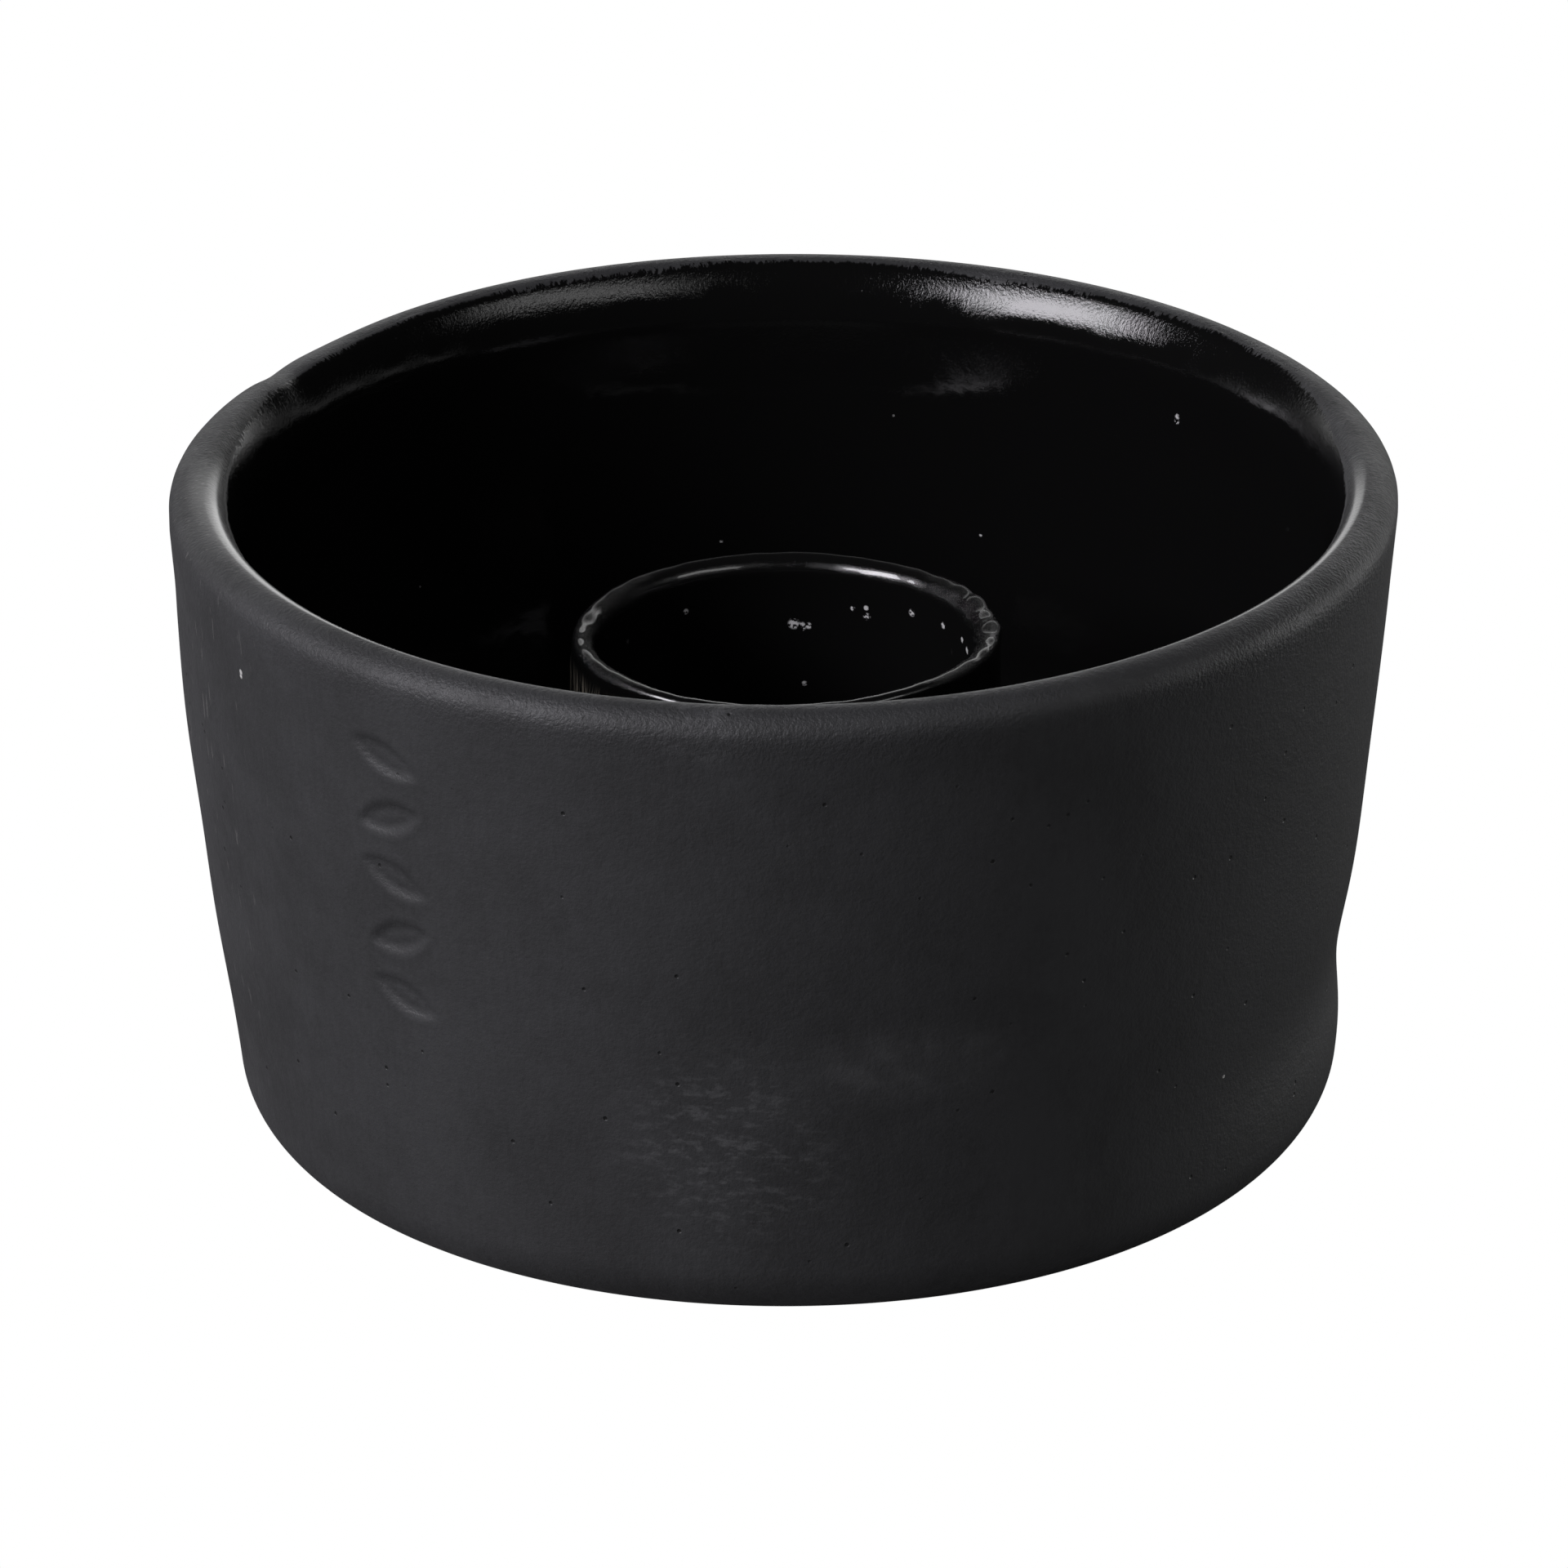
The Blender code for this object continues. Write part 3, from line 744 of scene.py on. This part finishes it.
felt, tree, shader, place = new_material("dark_felt", metallic=0.0, roughness=0.95, sheen_weight=0.3)
fibres = noise(tree, stretched(tree, place, (1.0, 1.0, 0.4)), 0.35, 6.0, 0.7)
colour = tinted(tree, fibres, grey(0.016), grey(0.045))
finish_surface(tree, shader, colour, ramp(tree, fibres, 0.0, 1.0, 0.9, 1.0), fibres, 0.2)

for number in range(1, 5):
    low, high = (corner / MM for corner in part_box(f"felt_foot_{number}"))
    middle, radius = (low + high) / 2, (high.x - low.x) / 2
    disc = np.vstack((
        ((0.0, 0.0), (radius - 0.35, 0.0)),
        arc((radius - 0.35, 0.35), 0.35, -80.0, 0.0, 5),
        arc((radius - 0.35, high.z - 0.35), 0.35, 0.0, 90.0, 5),
        ((radius * 0.5, high.z), (0.0, high.z)),
    ))

    def punched(angle, radius, height):
        """Felt's edge is a little uneven where the punch cut it."""
        return radius * (1 - 0.008 * (1 + waves(angle, (5, 9, 13), 0.5 + number))), height

    felt_foot = closed(turned(f"felt_foot_{number}_disc", disc, np.arange(0.0, 360.0, 7.5), punched))
    for corner in felt_foot.data.vertices:
        corner.co += Vector((middle.x, middle.y, 0.0)) * MM
    felt_foot.data.materials.append(felt)
    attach(felt_foot, "root")
    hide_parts(f"felt_foot_{number}")


# ---------------------------------------------------------------------------------------------
# Studio. A plain pale floor, a large softbox at the left front, a weak one high at the right front,
# a low strip behind the right side, and a pale wall behind. The room's front, sides and ceiling
# are dark, so that the glaze stays black.

FLOOR_SIZE = 6000.0
KEY = dict(turn=62.0, rise=31.0, away=1300.0, wide=790.0, tall=450.0, strength=21.0, tint=(0.995, 0.97, 1.03))
FILL = dict(turn=-50.0, rise=40.0, away=1300.0, wide=900.0, tall=240.0, strength=2.3, tint=(1.0, 1.0, 1.0))
EDGE = dict(turn=-112.0, rise=0.0, away=1300.0, wide=700.0, tall=60.0, strength=4.5, tint=(1.0, 1.0, 1.0))
CAMERA_RISE = 23.94
CAMERA_AWAY = 1344.2
CAMERA_TARGET = Vector((-0.21, 0.0, 37.58))
CAMERA_LENS = 288.7
CAMERA_ROLL = -0.5

scene = bpy.context.scene
floor_mesh = bpy.data.meshes.new("floor")
half = FLOOR_SIZE / 2 * MM
floor_corners = ((-half, -half, 0), (half, -half, 0), (half, half, 0), (-half, half, 0))
floor_mesh.from_pydata(floor_corners, [], ((0, 1, 2, 3),))
floor = bpy.data.objects.new("floor", floor_mesh)
scene.collection.objects.link(floor)
floor_paint, tree, shader, place = new_material("floor_paint", roughness=0.9)
mottled = noise(tree, place, 300.0, 2.0)
tree.links.new(tinted(tree, mottled, grey(0.15), grey(0.165)), shader.inputs["Base Color"])
glow = add(tree, "Emission", {"Color": (1.0, 1.0, 1.0, 1.0), "Strength": 1.0})
seen = add(tree, "LightPath").outputs["Is Camera Ray"]
both = add(tree, "MixShader", {0: seen, 1: shader.outputs[0], 2: glow.outputs[0]})
tree.links.new(both.outputs[0], tree.nodes["Material Output"].inputs["Surface"])
floor.data.materials.append(floor_paint)


def softbox(name, turn, rise, away, wide, tall, strength, tint):
    """A lamp that faces the bowl, turned to the left of the camera by turn and raised by rise."""
    light = bpy.data.lights.new(name, "AREA")
    light.shape = "RECTANGLE"
    light.size, light.size_y = wide * MM, tall * MM
    light.energy = strength
    light.color = tint
    lamp = bpy.data.objects.new(name, light)
    lamp.location = facing(turn, rise) * away * MM + CAMERA_TARGET * MM
    lamp.rotation_euler = facing(turn, rise).to_track_quat("Z", "Y").to_euler()
    lamp.visible_camera = False
    scene.collection.objects.link(lamp)


def facing(turn, rise):
    """The direction from the bowl, turned to the left of the front and raised."""
    turn, rise = np.radians(turn), np.radians(rise)
    return Vector((-np.sin(turn) * np.cos(rise), -np.cos(turn) * np.cos(rise), np.sin(rise)))


softbox("key_softbox", **KEY)
softbox("fill_softbox", **FILL)
softbox("edge_softbox", **EDGE)

WALL_GLOW = 1.6
ROOM_GLOW = 0.02

world = bpy.data.worlds.new("studio")
scene.world = world
world.use_nodes = True
tree = world.node_tree
way = add(tree, "SeparateXYZ", {0: add(tree, "TexCoord").outputs["Generated"]})
sideways = ramp(tree, maths(tree, "ABSOLUTE", way.outputs["X"]), 0.45, 0.80, 0.0, 0.40)
low_enough = ramp(tree, maths(tree, "ADD", way.outputs["Z"], sideways), 0.54, 0.27)
rightward = maths(tree, "MULTIPLY", maths(tree, "MAXIMUM", way.outputs["X"], 0.0), 0.40)
behind = ramp(tree, maths(tree, "ADD", way.outputs["Y"], rightward), 0.0, 0.35)
above = ramp(tree, way.outputs["Z"], -0.02, 0.02)
to_right = ramp(tree, way.outputs["X"], -0.45, 0.45, 0.72, 1.35)
wall = maths(tree, "MULTIPLY", low_enough, behind)
wall = maths(tree, "MULTIPLY", wall, maths(tree, "MULTIPLY", above, to_right))
glow = maths(tree, "ADD", maths(tree, "MULTIPLY", wall, WALL_GLOW - ROOM_GLOW), ROOM_GLOW)
seen = add(tree, "LightPath").outputs["Is Camera Ray"]
background = tree.nodes["Background"]
tree.links.new(maths(tree, "MAXIMUM", glow, seen), background.inputs["Strength"])
background.inputs["Color"].default_value = (1.0, 1.0, 1.0, 1.0)

scene.view_settings.view_transform = "Standard"

camera = bpy.data.objects.new("camera", bpy.data.cameras.new("camera"))
camera.data.lens = CAMERA_LENS
camera.data.sensor_width = 36.0
camera.data.clip_start, camera.data.clip_end = 0.05, 20.0
towards = facing(0.0, CAMERA_RISE)
camera.location = (CAMERA_TARGET + towards * CAMERA_AWAY) * MM
level = towards.to_track_quat("Z", "Y")
camera.rotation_euler = (level @ Quaternion((0, 0, 1), np.radians(CAMERA_ROLL))).to_euler()
scene.collection.objects.link(camera)
scene.camera = camera
